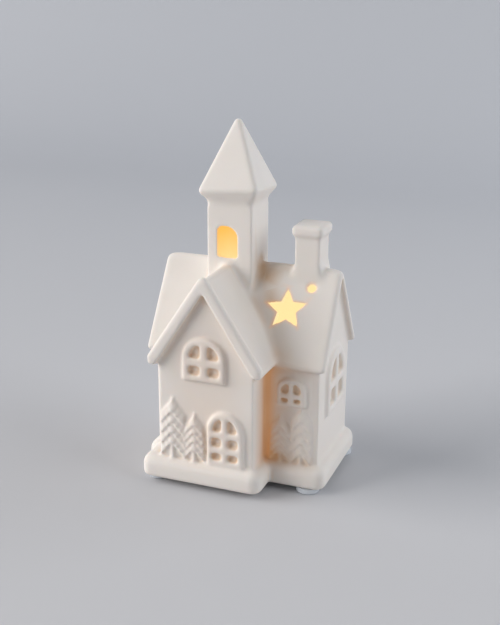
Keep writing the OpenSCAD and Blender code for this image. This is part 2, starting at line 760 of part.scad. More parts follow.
// The cap over the housing, which holds the diode
module housing_cap() color(white_plastic) in_unit() difference() {
    union() {
        translate([0, 0, unit_h]) cylinder(r = unit_r, h = lid_t);
        translate([0, 0, unit_h - lid_lip]) difference() {
            cylinder(r = unit_in_r - run_gap, h = lid_lip);
            translate([0, 0, -over]) cylinder(r = unit_in_r - run_gap - lid_lip_t, h = lid_lip + over);
            for (s = [-1, 1]) translate([s * lid_screw_x, lid_screw_y, -over])
                cylinder(r = lid_post_r + free_gap, h = lid_lip + over);
        }
    }
    translate([0, 0, unit_h - over]) cylinder(d = led_d + 2 * run_gap, h = lid_t + 2 * over);
    for (s = [-1, 1]) translate([s * lid_screw_x, lid_screw_y, unit_h - over])
        cylinder(r = lid_screw_r + run_gap, h = lid_t + 2 * over);
}

// A round-headed screw with a cross slot, standing with its head's underside on Z = 0
module small_screw(head_r, head_h, r, l) {
    difference() {
        rotate_extrude() polygon(concat([[0, -l], [r * screw_point_share, -l], [r, -l + r], [r, 0], [head_r, 0]],
                                        arc(0, 0, head_r, head_h, 0, 90)));
        for (turn = [0, 90])
            translate([0, 0, head_h]) rotate([0, 0, turn])
                cube([head_r, head_r * slot_w_share, head_h], center = true);
    }
}
screw_point_share = 0.5;
slot_w_share = 0.3;

// The two screws of the cap
module cap_screws() color(steel) in_unit() for (s = [-1, 1])
    translate([s * lid_screw_x, lid_screw_y, unit_h + lid_t])
        small_screw(lid_head_r, lid_head_h, lid_screw_r, lid_screw_l);

// The circuit board, on its two posts and the switch
module circuit_board() color(board_green) in_unit()
    translate([-board_l / 2, board_y0, board_z]) cube([board_l, board_y1 - board_y0, board_t]);

// The resistor on the board
module resistor() color(black_plastic) in_unit()
    translate([resistor_x, switch_y, board_z + board_t]) cube(resistor_size);

// The diode, whose collar sits below the cap
module led_lamp() color(lens_amber) in_unit() {
    r = led_d / 2;
    translate([0, 0, unit_h - collar_h]) cylinder(r = r + collar_over, h = collar_h);
    translate([0, 0, unit_h]) cylinder(r = r, h = lid_t + led_h - r);
    translate([0, 0, unit_h + lid_t + led_h - r]) sphere(r);
}

// The diode's two legs, bent over the battery bay to the board
module led_leads() color(steel) in_unit() for (s = [-1, 1]) {
    x = s * lead_pitch / 2;
    bent_wire([[x, 0, unit_h - collar_h], [x, 0, (unit_h + bay_h) / 2], [x, lead_y, bay_h],
               [x, lead_y, board_z + board_t]], lead_r);
}

// The slide switch's metal case with its three legs
module switch_body() color(steel) in_unit() {
    difference() {
        translate([-switch_l / 2, switch_y - switch_w / 2, flange_t]) cube([switch_l, switch_w, switch_h]);
        translate([-slot_l / 2 - run_gap, switch_y - knob_w / 2 - run_gap, flange_t - over])
            cube([slot_l + 2 * run_gap, knob_w + 2 * run_gap, switch_h / 2 + over]);
    }
    for (i = [-1:1]) translate([i * pin_pitch, switch_y, flange_t + switch_h - pin_r])
        cylinder(r = pin_r, h = board_z - flange_t - switch_h + pin_r);
}

// The knob, drawn in its on position, at the right end of its slot
module switch_knob() color(black_plastic) in_unit() {
    h = knob_out + flange_t + switch_h / 2 - run_gap;
    translate([slot_l / 2 - knob_w, switch_y - knob_w / 2, -knob_out]) difference() {
        cube([knob_w, knob_w, h]);
        for (i = [1:grip_grooves])
            translate([knob_w * i / (grip_grooves + 1) - groove_w / 2, -over, -over])
                cube([groove_w, knob_w + 2 * over, over + groove_w]);
    }
}
grip_grooves = 3;
groove_w = 0.25;

// One button cell, lying on its rim, with its smaller end towards -X
module cell(i) color(steel) in_unit() {
    r = cell_d / 2;
    rim = cell_d * cell_rim_share;
    start = bay_l / 2 - 2 * contact_t - (i + 1) * cell_t;
    translate([start, bay_mid, cell_z]) rotate([0, 90, 0])
        rotate_extrude() polygon([[0, 0], [r - 2 * rim, 0], [r - 2 * rim, rim], [r - rim, rim], [r, 2 * rim],
                                  [r, cell_t - rim / 2], [r - rim / 2, cell_t], [0, cell_t]]);
}
cell_rim_share = 0.05;
module cell_1() cell(0);
module cell_2() cell(1);
module cell_3() cell(2);

// The flat contact at the right end of the bay
module contact_plus() color(steel) in_unit() {
    x = bay_l / 2 - 2 * contact_t;
    translate([x, bay_mid - contact_w / 2, contact_low])
        cube([contact_t, contact_w, bay_h - contact_low - run_gap]);
    translate([x, bay_mid - tab_w / 2, bay_h - over]) cube([contact_t, tab_w, over + bay_wall + tab_up]);
}

// The sprung contact at the left end of the bay
module contact_minus() color(steel) in_unit() {
    x = -bay_l / 2 + contact_t;
    reach = bay_l - 4 * contact_t - 3 * cell_t - contact_t;
    leaf_low = cell_z - cell_d / 4;
    leaf_top = cell_z + cell_d / 4;
    translate([x, bay_mid - contact_w / 2, contact_low])
        cube([contact_t, contact_w, bay_h - contact_low - run_gap]);
    translate([x, bay_mid - tab_w / 2, bay_h - over]) cube([contact_t, tab_w, over + bay_wall + tab_up]);
    translate([x, bay_mid + leaf_w / 2, 0]) rotate([90, 0, 0]) linear_extrude(leaf_w)
        polygon([[0, leaf_top + contact_t], [contact_t, leaf_top + contact_t],
                 [reach + contact_t, cell_z + contact_t], [reach + contact_t, cell_z - contact_t],
                 [reach - contact_t, leaf_low], [reach - 2 * contact_t, leaf_low + contact_t],
                 [reach, cell_z], [0, leaf_top - contact_t]]);
}

// The insulated wire from a contact's tab, over the bay and down to the board, on the side that s gives
module supply_wire(s) {
    tab_z = bay_h + bay_wall + tab_up;
    from = [s * (bay_l / 2 - contact_t * 3 / 2), bay_mid];
    to = [s * (board_l / 2 - wire_in), wire_y];
    run = norm(to - from);
    drop = tab_z - board_z - board_t;
    translate([from[0], from[1], tab_z]) rotate([0, 0, atan2(to[1] - from[1], to[0] - from[0])]) {
        translate([wire_bend, 0, 0]) rotate([90, -90, 0]) wire_elbow();
        translate([wire_bend, 0, wire_bend]) rotate([0, 90, 0]) cylinder(r = wire_r, h = run - 2 * wire_bend);
        translate([run - wire_bend, 0, 0]) rotate([90, 0, 0]) wire_elbow();
        translate([run, 0, -drop]) cylinder(r = wire_r, h = drop);
    }
}
module wire_elbow() rotate_extrude(angle = 90) translate([wire_bend, 0]) circle(wire_r);
wire_bend = 1.2;
wire_y = 7;
wire_in = 1.9;
module wire_plus() color(wire_red) in_unit() supply_wire(1);
module wire_minus() color(black_plastic) in_unit() supply_wire(-1);

// The battery door with its hinge barrel, pins and screw ear
module battery_door() color(white_plastic) in_unit() difference() {
    union() {
        translate([-door_x, hinge_y, 0]) cube([2 * door_x, door_end_y - hinge_y, door_t]);
        translate([-door_x, hinge_y, hinge_z]) rotate([0, 90, 0]) cylinder(r = hinge_z, h = 2 * door_x);
        translate([-door_x - hinge_pin_l, hinge_y, hinge_z]) rotate([0, 90, 0])
            cylinder(r = hinge_pin_r, h = 2 * (door_x + hinge_pin_l));
        translate([0, screw_y, 0]) cylinder(r = ear_r, h = door_t);
        translate([-ear_r, 0, 0]) cube([2 * ear_r, screw_y, door_t]);
    }
    translate([0, screw_y, -over]) cylinder(r = screw_r + run_gap, h = door_t + 2 * over);
    translate([0, screw_y, -over]) cylinder(r = screw_head_r + run_gap, h = screw_head_h + over);
    for (i = [1:grip_ribs]) translate([-door_x / 2, hinge_y + bay_w * (rib_from_share + i * rib_step_share), -over])
        cube([door_x, rib_w, over + rib_w / 2]);
}
grip_ribs = 3;
rib_from_share = 0.3;
rib_step_share = 0.12;
rib_w = 0.6;

// The captive screw of the door, turned head down
module door_screw() color(steel) in_unit()
    translate([0, screw_y, screw_head_h]) mirror([0, 0, 1])
        small_screw(screw_head_r, screw_head_h, screw_r, screw_tip - screw_head_h);

ceramic_house();
foot_front_left();
foot_front_right();
foot_back_left();
foot_back_right();
light_housing();
grip_ring();
housing_cap();
cap_screws();
circuit_board();
resistor();
led_lamp();
led_leads();
switch_body();
switch_knob();
cell_1();
cell_2();
cell_3();
contact_plus();
contact_minus();
wire_plus();
wire_minus();
battery_door();
door_screw();
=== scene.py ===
"""Looks of the lit porcelain village house, dressed around its packed construction."""
import math

import bmesh
import bpy
import numpy as np
from mathutils import Matrix, Vector
from mathutils.bvhtree import BVHTree


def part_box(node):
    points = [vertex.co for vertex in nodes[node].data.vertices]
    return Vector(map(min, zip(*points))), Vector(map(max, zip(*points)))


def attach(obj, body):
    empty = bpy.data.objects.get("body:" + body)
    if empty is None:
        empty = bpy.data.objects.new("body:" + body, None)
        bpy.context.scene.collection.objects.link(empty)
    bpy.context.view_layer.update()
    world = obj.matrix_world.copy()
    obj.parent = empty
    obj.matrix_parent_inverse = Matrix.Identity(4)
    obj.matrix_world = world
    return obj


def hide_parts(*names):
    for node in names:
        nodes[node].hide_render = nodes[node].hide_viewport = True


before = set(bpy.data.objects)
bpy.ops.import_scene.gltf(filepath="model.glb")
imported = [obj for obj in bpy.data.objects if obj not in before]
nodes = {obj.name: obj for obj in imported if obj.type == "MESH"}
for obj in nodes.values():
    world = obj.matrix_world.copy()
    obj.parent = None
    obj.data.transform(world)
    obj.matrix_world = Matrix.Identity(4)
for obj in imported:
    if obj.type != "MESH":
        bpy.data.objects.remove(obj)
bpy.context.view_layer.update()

MM = 0.001

# The photograph's view, in metres and degrees, with the lens in millimetres
CAMERA_PLACE = Vector((0.15083, -0.39204, 0.21323))
CAMERA_YAW = 20.962
CAMERA_PITCH = 18.223
CAMERA_ROLL = 0.348
CAMERA_LENS = 56.87
CAMERA_NEAR = 0.01

# The lamps, as (name, place, size, power, colour), and the place they are aimed at
LAMPS = [
    ("key", (-4.41, -2.31, 2.29), 4.5, 338, (1.0, 0.972, 0.945)),
    ("side", (5.0, 0.19, 2.3), 3.45, 126, (0.96, 0.98, 1.0)),
    ("rear", (0.95, 0.75, 0.75), 0.9, 4.6, (0.94, 0.97, 1.0)),
]
LAMP_TARGET = (0, 0, 0.07)
# The world, with its strength as light and as seen directly, in gloss or through clear pieces
WORLD_COLOUR = (0.90, 0.95, 1.0, 1.0)
WORLD_LIGHT = 0.22
WORLD_SEEN = 0.5

# The floor, in metres: half its width, the backdrop's distance, the radius between them and the top
FLOOR_HALF = 5.0
FLOOR_BACK = 1.1
FLOOR_SWEEP = 0.45
FLOOR_TOP = 3.0
FLOOR_STEPS = 16
FLOOR, FLOOR_TINT = (0.605, 0.605, 0.625), (0.59, 0.59, 0.61)
# Painted shade: it darkens towards the back, from one Y to another, and in a wide ring round the house
FLOOR_FAR, FLOOR_FAR_FROM, FLOOR_FAR_TO = (0.44, 0.455, 0.49), -0.2, 0.75
FLOOR_RIM, FLOOR_RIM_FROM, FLOOR_RIM_TO = (0.33, 0.335, 0.35), 1.6, 3.6

# Colours, each with the tint that clouds it
PORCELAIN, PORCELAIN_TINT = (0.835, 0.79, 0.75), (0.805, 0.76, 0.715)
PORCELAIN_SPECKS = (0.70, 0.65, 0.59)
# Painted shade: the warm colour that closed-in hollows are mixed towards
PAINTED_HOLLOW_SHADE = (0.82, 0.63, 0.45)
# Painted warm shade, mixed in where the marks below lie
PAINTED_WARM_SHADE = (0.62, 0.42, 0.26)
INSIDE, INSIDE_TINT = (0.36, 0.31, 0.25), (0.30, 0.26, 0.21)
CLEAR, CLEAR_TINT = (0.93, 0.96, 1.0), (0.86, 0.92, 1.0)
WHITE, WHITE_TINT = (0.80, 0.80, 0.78), (0.74, 0.74, 0.72)
GREY, GREY_TINT = (0.62, 0.63, 0.64), (0.55, 0.56, 0.57)
BLACK, BLACK_TINT = (0.025, 0.025, 0.027), (0.045, 0.045, 0.048)
RED, RED_TINT = (0.55, 0.02, 0.015), (0.48, 0.015, 0.01)
RESIN, RESIN_TINT = (1.0, 0.93, 0.78), (1.0, 0.88, 0.66)
BOARD, BOARD_TINT = (0.02, 0.16, 0.07), (0.015, 0.12, 0.05)
TRACKS = (0.05, 0.27, 0.12)
STEEL, STEEL_TINT = (0.70, 0.71, 0.72), (0.58, 0.59, 0.61)
TINNED, TINNED_TINT = (0.72, 0.72, 0.73), (0.6, 0.6, 0.62)
CELL, CELL_TINT = (0.74, 0.73, 0.71), (0.66, 0.65, 0.63)
PLATE, PLATE_TINT = (0.72, 0.70, 0.64), (0.62, 0.60, 0.55)

# The warm light's colours: painted as glow through the wall, the diode's own light, and painted on the
# porcelain in the room and up in the tower
WALL_GLOW = (1.0, 0.38, 0.09, 1.0)
DIODE_GLOW = (1.0, 0.62, 0.24, 1.0)
ROOM_GLOW = (1.0, 0.79, 0.40)
TOWER_GLOW = (1.0, 0.47, 0.05)
TOWER_FROM, TOWER_TO = 90 * MM, 113 * MM
# Its strengths: painted inside, on the walls of the cut-outs and through the wall, and the diode's own light
INSIDE_LIGHT = 0.74
CUT_LIGHT = 0.74
WALL_LIGHT = 0.18
DIODE_LIGHT = 2.5

# The porcelain's mesh, and how many rounds soften its parts
SAME_PLACE = 1e-6
NO_LENGTH = 1e-12
VOXEL = 0.5 * MM
PORCELAIN_TRIANGLES = 190000
SOFT_ROUNDS = 12
FRAME_ROUNDS = 12
BLEND_ROUNDS = 90
BROAD_ROUNDS = 160
WEIGHT_STEPS = 20

# The rays that find the inside and the hollows: their start, their least rise and how near a wall shades
RAY_LIFT = 0.3 * MM
RAY_RISE = 0.2
CLOSE_BY = 4 * MM
# A place begins to be inside at this share of rays met, and is wholly so after this further share
INSIDE_FROM = 0.66
INSIDE_OVER = 0.14
# Rounds that even out the inside and the hollows, and from where and how fast the painted shade in hollows
# grows warmer
LIT_ROUNDS = 3
HOLLOW_ROUNDS = 4
HOLLOW_FROM = 0.1
HOLLOW_WARMTH = 1.7


# Node trees

def new_material(name):
    """An empty node material with its output, as (material, tree, output)."""
    material = bpy.data.materials.new(name)
    material.use_nodes = True
    tree = material.node_tree
    tree.nodes.clear()
    output = tree.nodes.new("ShaderNodeOutputMaterial")
    return material, tree, output


def add(tree, kind, inputs=None, **settings):
    """Adds a node; an input is a value, or the output socket that feeds it."""
    node = tree.nodes.new("ShaderNode" + kind)
    for key, value in settings.items():
        setattr(node, key, value)
    for key, value in (inputs or {}).items():
        if isinstance(value, bpy.types.NodeSocket):
            tree.links.new(value, node.inputs[key])
        else:
            node.inputs[key].default_value = value
    return node


def object_place(tree):
    return add(tree, "TexCoord").outputs["Object"]


def along_axis(tree, axis):
    """The object place's coordinate along an axis, in metres."""
    return add(tree, "SeparateXYZ", {"Vector": object_place(tree)}).outputs[axis]


def attribute(tree, name):
    return add(tree, "Attribute", attribute_name=name).outputs["Fac"]


def maths(tree, operation, *values):
    return add(tree, "Math", dict(enumerate(values)), operation=operation).outputs[0]


def noise_at(tree, size, detail=2.0, roughness=0.5, stretch=None):
    """Noise whose patches are about size metres wide, as a socket from 0 to 1."""
    place = object_place(tree)
    if stretch:
        place = add(tree, "Mapping", {"Vector": place, "Scale": stretch}).outputs["Vector"]
    inputs = {"Vector": place, "Scale": 1 / size, "Detail": detail, "Roughness": roughness}
    return add(tree, "TexNoise", inputs).outputs["Fac"]


def between(tree, share, low, high, from_low=0.3, from_high=0.7):
    """Maps a share to the range from low to high."""
    ranged = add(tree, "MapRange", {"Value": share, "From Min": from_low, "From Max": from_high,
                                    "To Min": low, "To Max": high})
    return ranged.outputs["Result"]


def mixed(tree, share, colour_a, colour_b):
    """Mixes two colours, each a tuple or a socket."""
    def full(colour):
        return colour if isinstance(colour, bpy.types.NodeSocket) else (*colour[:3], 1.0)
    mix = tree.nodes.new("ShaderNodeMix")
    mix.data_type = "RGBA"
    sockets = {s.identifier: s for s in mix.inputs}
    for key, value in {"Factor_Float": share, "A_Color": full(colour_a), "B_Color": full(colour_b)}.items():
        if isinstance(value, bpy.types.NodeSocket):
            tree.links.new(value, sockets[key])
        else:
            sockets[key].default_value = value
    return next(s for s in mix.outputs if s.identifier == "Result_Color")


def bumped(tree, height, depth):
    """A normal from a height socket, depth metres deep."""
    return add(tree, "Bump", {"Height": height, "Distance": depth, "Strength": 1.0}).outputs["Normal"]


def surface(tree, output, inputs):
    shader = add(tree, "BsdfPrincipled", inputs)
    tree.links.new(shader.outputs["BSDF"], output.inputs["Surface"])


def moulded(name, colour, tint, roughness):
    """Plastic or rubber: a base colour clouded with its tint, fine grain and uneven gloss."""
    material, tree, output = new_material(name)
    patch, grain, depth, uneven = 7 * MM, 0.35 * MM, 0.012 * MM, 0.08
    surface(tree, output, {
        "Base Color": mixed(tree, noise_at(tree, patch, 3.0), colour, tint),
        "Roughness": between(tree, noise_at(tree, patch / 3, 2.0), roughness - uneven, roughness + uneven),
        "Normal": bumped(tree, noise_at(tree, grain, 1.0), depth),
    })
    return material


def metal(name, colour, tint, roughness):
    """Metal with fine marks that run round or across its height."""
    material, tree, output = new_material(name)
    patch, grain, brush, depth, uneven = 3 * MM, 0.9 * MM, (1, 1, 14), 0.006 * MM, 0.08
    marks = noise_at(tree, grain, 3.0, 0.6, brush)
    surface(tree, output, {
        "Base Color": mixed(tree, noise_at(tree, patch, 3.0), colour, tint),
        "Metallic": 1.0,
        "Roughness": between(tree, marks, roughness - uneven, roughness + uneven),
        "Normal": bumped(tree, marks, depth),
    })
    return material


def bisque_material():
    """Unglazed porcelain: matt, fine-grained and faintly clouded, with painted warm shade and painted glow."""
    material, tree, output = new_material("bisque_porcelain")
    cloud = noise_at(tree, 26 * MM, 3.0)
    specks = noise_at(tree, 0.9 * MM, 4.0, 0.6)
    grain = noise_at(tree, 0.35 * MM, 2.0)
    wash = noise_at(tree, 5 * MM, 3.0)
    base = mixed(tree, between(tree, cloud, 0.0, 1.0), PORCELAIN, PORCELAIN_TINT)
    base = mixed(tree, between(tree, specks, 0.0, 0.35, 0.62, 0.8), base, PORCELAIN_SPECKS)
    # Painted shade: closed-in hollows turn warmer
    base = mixed(tree, attribute(tree, "hollow"), base, PAINTED_HOLLOW_SHADE)
    # Painted warm shade, where the marks lie
    base = mixed(tree, attribute(tree, "tan"), base, PAINTED_WARM_SHADE)
    surface(tree, output, {
        "Base Color": base,
        "Roughness": between(tree, wash, 0.72, 0.86),
        "Specular IOR Level": 0.35,
        "Subsurface Weight": 0.12,
        "Subsurface Radius": (1.0, 0.6, 0.35),
        "Subsurface Scale": 1.5 * MM,
        "Normal": bumped(tree, maths(tree, "ADD", between(tree, grain, 0.0, 0.25), wash), 0.05 * MM),
        # Painted glow: the lamp's light through the wall, as emission where the glow marks lie
        "Emission Color": WALL_GLOW,
        "Emission Strength": between(tree, attribute(tree, "glow"), 0.0, WALL_LIGHT, 0.0, 1.0),
    })
    return material


def lit_bisque_material():
    """The porcelain inside, with the lamp's light painted on as glow, more orange in the tower than in the
    room.
    """
    material, tree, output = new_material("lit_porcelain")
    up_tower = between(tree, along_axis(tree, "Z"), 0.0, 1.0, TOWER_FROM, TOWER_TO)
    wash = noise_at(tree, 6 * MM, 3.0)
    surface(tree, output, {
        "Base Color": mixed(tree, wash, INSIDE, INSIDE_TINT),
        "Roughness": 0.85,
        "Normal": bumped(tree, wash, 0.1 * MM),
        "Emission Color": mixed(tree, up_tower, ROOM_GLOW, TOWER_GLOW),
        "Emission Strength": attribute(tree, "lit"),
    })
    return material


def clear_rubber_material():
    """The stick-on feet's soft, clear rubber, faintly blue and rippled."""
    material, tree, output = new_material("clear_rubber")
    ripple = noise_at(tree, 2.5 * MM, 2.0)
    surface(tree, output, {
        "Base Color": mixed(tree, ripple, CLEAR, CLEAR_TINT),
        "Roughness": between(tree, ripple, 0.04, 0.14),
        "IOR": 1.48,
        "Transmission Weight": 0.25,
        "Normal": bumped(tree, ripple, 0.02 * MM),
    })
    return material


def diode_material():
    """The diode's resin, lit from within."""
    material, tree, output = new_material("led_resin")
    surface(tree, output, {
        "Base Color": mixed(tree, noise_at(tree, 2 * MM), RESIN, RESIN_TINT),
        "Roughness": between(tree, noise_at(tree, 1 * MM), 0.05, 0.12),
        "IOR": 1.5,
        "Transmission Weight": 0.6,
        "Emission Color": DIODE_GLOW,
        "Emission Strength": DIODE_LIGHT,
    })
    return material


def board_material():
    """Green board: varnish over raised copper tracks, which stop here and there."""
    material, tree, output = new_material("green_board")
    track_pitch = 1.2 * MM
    waves_per_scale = 20 / (2 * math.pi)
    wave_inputs = {"Vector": object_place(tree), "Scale": 1 / (track_pitch * waves_per_scale)}
    bands = add(tree, "TexWave", wave_inputs, bands_direction="Y").outputs["Fac"]
    cloud = noise_at(tree, 3 * MM)
    tracks = maths(tree, "MULTIPLY", between(tree, bands, 0.0, 1.0, 0.8, 0.86),
                   between(tree, cloud, 0.0, 1.0, 0.47, 0.49))
    surface(tree, output, {
        "Base Color": mixed(tree, tracks, mixed(tree, cloud, BOARD, BOARD_TINT), TRACKS),
        "Roughness": between(tree, cloud, 0.22, 0.34),
        "Normal": bumped(tree, tracks, 0.03 * MM),
    })
    return material


def chip_material():
    """A chip resistor: black in the middle, with tinned ends."""
    material, tree, output = new_material("chip_resistor")
    low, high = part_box("resistor")
    tinned, blur = 0.4 * MM, 0.02 * MM
    aside = maths(tree, "SUBTRACT", along_axis(tree, "X"), (low[0] + high[0]) / 2)
    aside = maths(tree, "ABSOLUTE", aside)
    edge = (high[0] - low[0]) / 2 - tinned
    ends = between(tree, aside, 0.0, 1.0, edge - blur, edge + blur)
    grain = noise_at(tree, 0.2 * MM)
    surface(tree, output, {
        "Base Color": mixed(tree, ends, mixed(tree, grain, BLACK, BLACK_TINT), STEEL),
        "Metallic": ends,
        "Roughness": between(tree, grain, 0.28, 0.44),
        "Normal": bumped(tree, grain, 0.01 * MM),
    })
    return material


# Meshes

def piece_from(bm, name):
    """A new piece in the scene with a bmesh's faces."""
    mesh = bpy.data.meshes.new(name)
    bm.to_mesh(mesh)
    bm.free()
    piece = bpy.data.objects.new(name, mesh)
    bpy.context.scene.collection.objects.link(piece)
    return piece


def copy_of(node, name):
    """A new piece with a CAD node's mesh, its doubles merged."""
    bm = bmesh.new()
    bm.from_mesh(nodes[node].data)
    bmesh.ops.remove_doubles(bm, verts=bm.verts, dist=SAME_PLACE)
    return piece_from(bm, name)


def move_extruded(bm, made, way):
    """Moves the vertices that an extrusion made."""
    bmesh.ops.translate(bm, verts=[v for v in made["geom"] if isinstance(v, bmesh.types.BMVert)], vec=way)


def apply_modifiers(piece):
    """Makes a piece's modifiers part of its mesh."""
    bpy.context.view_layer.update()
    made = bpy.data.meshes.new_from_object(piece.evaluated_get(bpy.context.evaluated_depsgraph_get()))
    piece.modifiers.clear()
    piece.data = made


def places_of(mesh):
    place = np.zeros(len(mesh.vertices) * 3)
    mesh.vertices.foreach_get("co", place)
    return place.reshape(-1, 3)


def put_places(mesh, places):
    mesh.vertices.foreach_set("co", places.ravel())
    mesh.update()


def voxels(piece):
    """Makes one even, closed mesh of a piece."""
    remesh = piece.modifiers.new("cast", "REMESH")
    remesh.mode = "VOXEL"
    remesh.voxel_size = VOXEL
    apply_modifiers(piece)


def smooth(piece, rounds, weights):
    """Smooths a piece when its modifiers are applied, each place by its weight from 0 to 1."""
    group = piece.vertex_groups.new(name="softness")
    steps = np.round(np.clip(weights, 0, 1) * WEIGHT_STEPS).astype(int)
    for step in range(1, WEIGHT_STEPS + 1):
        group.add(np.nonzero(steps == step)[0].tolist(), step / WEIGHT_STEPS, "REPLACE")
    modifier = piece.modifiers.new("smooth", "SMOOTH")
    modifier.factor = 0.5
    modifier.iterations = rounds
    modifier.vertex_group = group.name


def float_attribute(mesh, name, values):
    made = mesh.attributes.new(name, "FLOAT", "POINT")
    made.data.foreach_set("value", np.asarray(values, np.float32))


def evened(mesh, values, rounds):
    """A value at each vertex, evened out along the mesh's edges."""
    pairs = np.zeros(len(mesh.edges) * 2, int)
    mesh.edges.foreach_get("vertices", pairs)
    a, b = pairs.reshape(-1, 2).T
    count = np.maximum(np.bincount(a, minlength=len(values)) + np.bincount(b, minlength=len(values)), 1)
    for _ in range(rounds):
        total = np.bincount(a, values[b], len(values)) + np.bincount(b, values[a], len(values))
        values = (values + total / count) / 2
    return values


def ray_tree(mesh):
    """A mesh's faces as a tree to cast rays at."""
    return BVHTree.FromPolygons([v.co for v in mesh.vertices], [p.vertices for p in mesh.polygons])


def closed_in(mesh):
    """For each vertex, the share of rays that meet the mesh's own walls: anywhere, and close by."""
    tree = ray_tree(mesh)
    steps = (-1, 0, 1)
    rays = [Vector((x, y, z)).normalized() for x in steps for y in steps for z in steps if x or y or z]
    anywhere, close = np.zeros(len(mesh.vertices)), np.zeros(len(mesh.vertices))
    for i, vertex in enumerate(mesh.vertices):
        start = vertex.co + vertex.normal * RAY_LIFT
        met = [tree.ray_cast(start, ray)[3] for ray in rays if ray.dot(vertex.normal) > RAY_RISE]
        anywhere[i] = sum(distance is not None for distance in met) / len(met)
        close[i] = sum(distance is not None and distance < CLOSE_BY for distance in met) / len(met)
    return anywhere, close


def paint(material, *names):
    """Gives CAD nodes their material."""
    for name in names:
        mesh = nodes[name].data
        mesh.materials.clear()
        mesh.materials.append(material)


def shade_smooth(mesh):
    mesh.polygons.foreach_set("use_smooth", [True] * len(mesh.polygons))


# The porcelain casting. From here to the next heading all lengths are in millimetres,
# apart from the meshes' own places, which are in metres.

# Where its foot lines and edges blend, as (ends, reach)
BLENDS = [
    (((20.2, 2.2, 91.9), (20.2, 7.1, 99.9)), 2.6),
    (((20.2, 7.1, 99.9), (20.2, 16, 85.3)), 2.6),
    (((31.8, 2.2, 91.9), (31.8, 7.1, 99.9)), 2.6),
    (((31.8, 7.1, 99.9), (31.8, 16, 85.3)), 2.6),
    (((20.2, 2.2, 91.9), (31.8, 2.2, 91.9)), 2.6),
    (((20.2, 16, 85.3), (31.8, 16, 85.3)), 2.6),
    (((-18.4, -4.1, 85.5), (-8.6, -4.1, 99.5)), 2.6),
    (((-8.6, -4.1, 99.5), (3, -3.4, 82.8)), 2.8),
    (((3, -3.4, 82.8), (3, 7.1, 99.9)), 2.8),
    (((3, 7.1, 99.9), (3, 17.3, 83.3)), 2.8),
    (((-18.4, -1.7, 85.5), (-18.4, 7.1, 99.9)), 2.8),
    (((-18.4, 7.1, 99.9), (-18.4, 17.3, 83.3)), 2.8),
    (((-18.4, 17.3, 83.3), (3, 17.3, 83.3)), 2.8),
    (((-18.4, -4.1, 125.5), (3, -4.1, 125.5)), 1.8),
    (((3, -4.1, 125.5), (3, 17.3, 125.5)), 1.8),
    (((3, 17.3, 125.5), (-18.4, 17.3, 125.5)), 1.8),
    (((-18.4, 17.3, 125.5), (-18.4, -4.1, 125.5)), 1.8),
    (((-42.6, 7.1, 99.5), (-40.5, 7.1, 99.5)), 2.6),
    (((41.4, 7.1, 99.5), (39.5, 7.1, 99.5)), 2.6),
    (((-8.6, -32.9, 99.5), (-8.6, -31, 99.5)), 2.4),
]
# The roofs' valleys and the ridge's ends, which blend wider
BROAD_BLENDS = [
    (((3, -3.4, 82.8), (12.3, -10.3, 72.8)), 2.0),
    (((12.3, -10.3, 72.8), (19.8, -17.3, 61.5)), 1.5),
    (((-18.4, -1.7, 85.5), (-27, -9.7, 72.5)), 2.4),
    (((-27, -9.7, 72.5), (-35.2, -17.3, 60.2)), 2.8),
    (((-42.6, 7.1, 99.5), (-41, 7.1, 99.5)), 3.2),
    (((41.4, 7.1, 99.5), (39.8, 7.1, 99.5)), 3.6),
]
# Where the lamp's light through the wall is painted on as glow, and where warm shade is painted into the
# colour, as (ends, reach, strength)
GLOWS = [
    (((15, -15.4, 16), (15, -15.4, 57)), 3.4, 0.7),
    (((20, -15.4, 16), (20, -15.4, 57)), 6.5, 0.22),
    (((-8, -29.6, 26), (-8, -29.6, 62)), 15, 0.12),
    (((5.5, 5, 96.5), (8, 2, 91.7)), 3.0, 0.12),
    (((4, -3.5, 82), (18.8, -15.5, 63.2)), 2.2, 0.08),
]
PAINTED_WARM_SHADES = [
    (((5.4, 4.4, 95.5), (6.0, 2.2, 92)), 2.4, 0.5),
    (((4.2, 7.5, 99), (4.2, 7.5, 99)), 2.2, 0.4),
    (((7.8, 2, 91.7), (11.8, -3, 83.4)), 3.6, 0.35),
    (((11.8, -3, 83.4), (22, -15, 63.8)), 4.6, 0.24),
    (((4, -3.5, 82), (18.8, -15.5, 63.2)), 2.0, 0.16),
    (((10, 4.5, 95.6), (16, 5, 96.4)), 3.6, 0.24),
    (((3, 3, 98), (3, 9, 98)), 3.0, 0.3),
    (((13.7, -17, 20), (13.7, -17, 57)), 3.0, 0.1),
    (((16, -15.4, 15), (20, -15.4, 15)), 3.6, 0.4),
    (((18, -15.4, 14.5), (34, -15.4, 14.5)), 3.2, 0.3),
    (((15, -15.4, 57), (34, -15.4, 57)), 3.0, 0.25),
    (((27, -15.4, 22), (27, -15.4, 54)), 12, 0.14),
    (((-8, -29.6, 26), (-8, -29.6, 62)), 15, 0.07),
    (((3, -1.5, 86.5), (3, 3.5, 94.5)), 1.8, 0.3),
    (((3, -3.4, 82.8), (10, -9.5, 74.8)), 2.4, 0.2),
    (((-28.4, -29.6, 65.1), (-8.6, -29.6, 90.7)), 1.6, 0.22),
    (((-8.6, -29.6, 90.7), (14.4, -29.6, 60.3)), 1.6, 0.12),
]
# Painted warm shade on all the outside, and round the star and the round hole
WARM_SHADE_EVERYWHERE = 0.02
WARM_SHADE_IN_HALO = 0.35

# The wing's right slope is fuller where it meets the main roof, as (ends, reach, how much)
FULLER_VALLEY = (((3, -3.4, 82.8), (18, -17.3, 60.2)), 8, 2.2)
WING_SLOPE_OUT = (0.82, 0, 0.571)
# It fills up over this share of the valley's length, and over this height above the main wall's top
VALLEY_RISE = 0.4
WALL_TOP, WALL_TOP_RISE = 56, 3

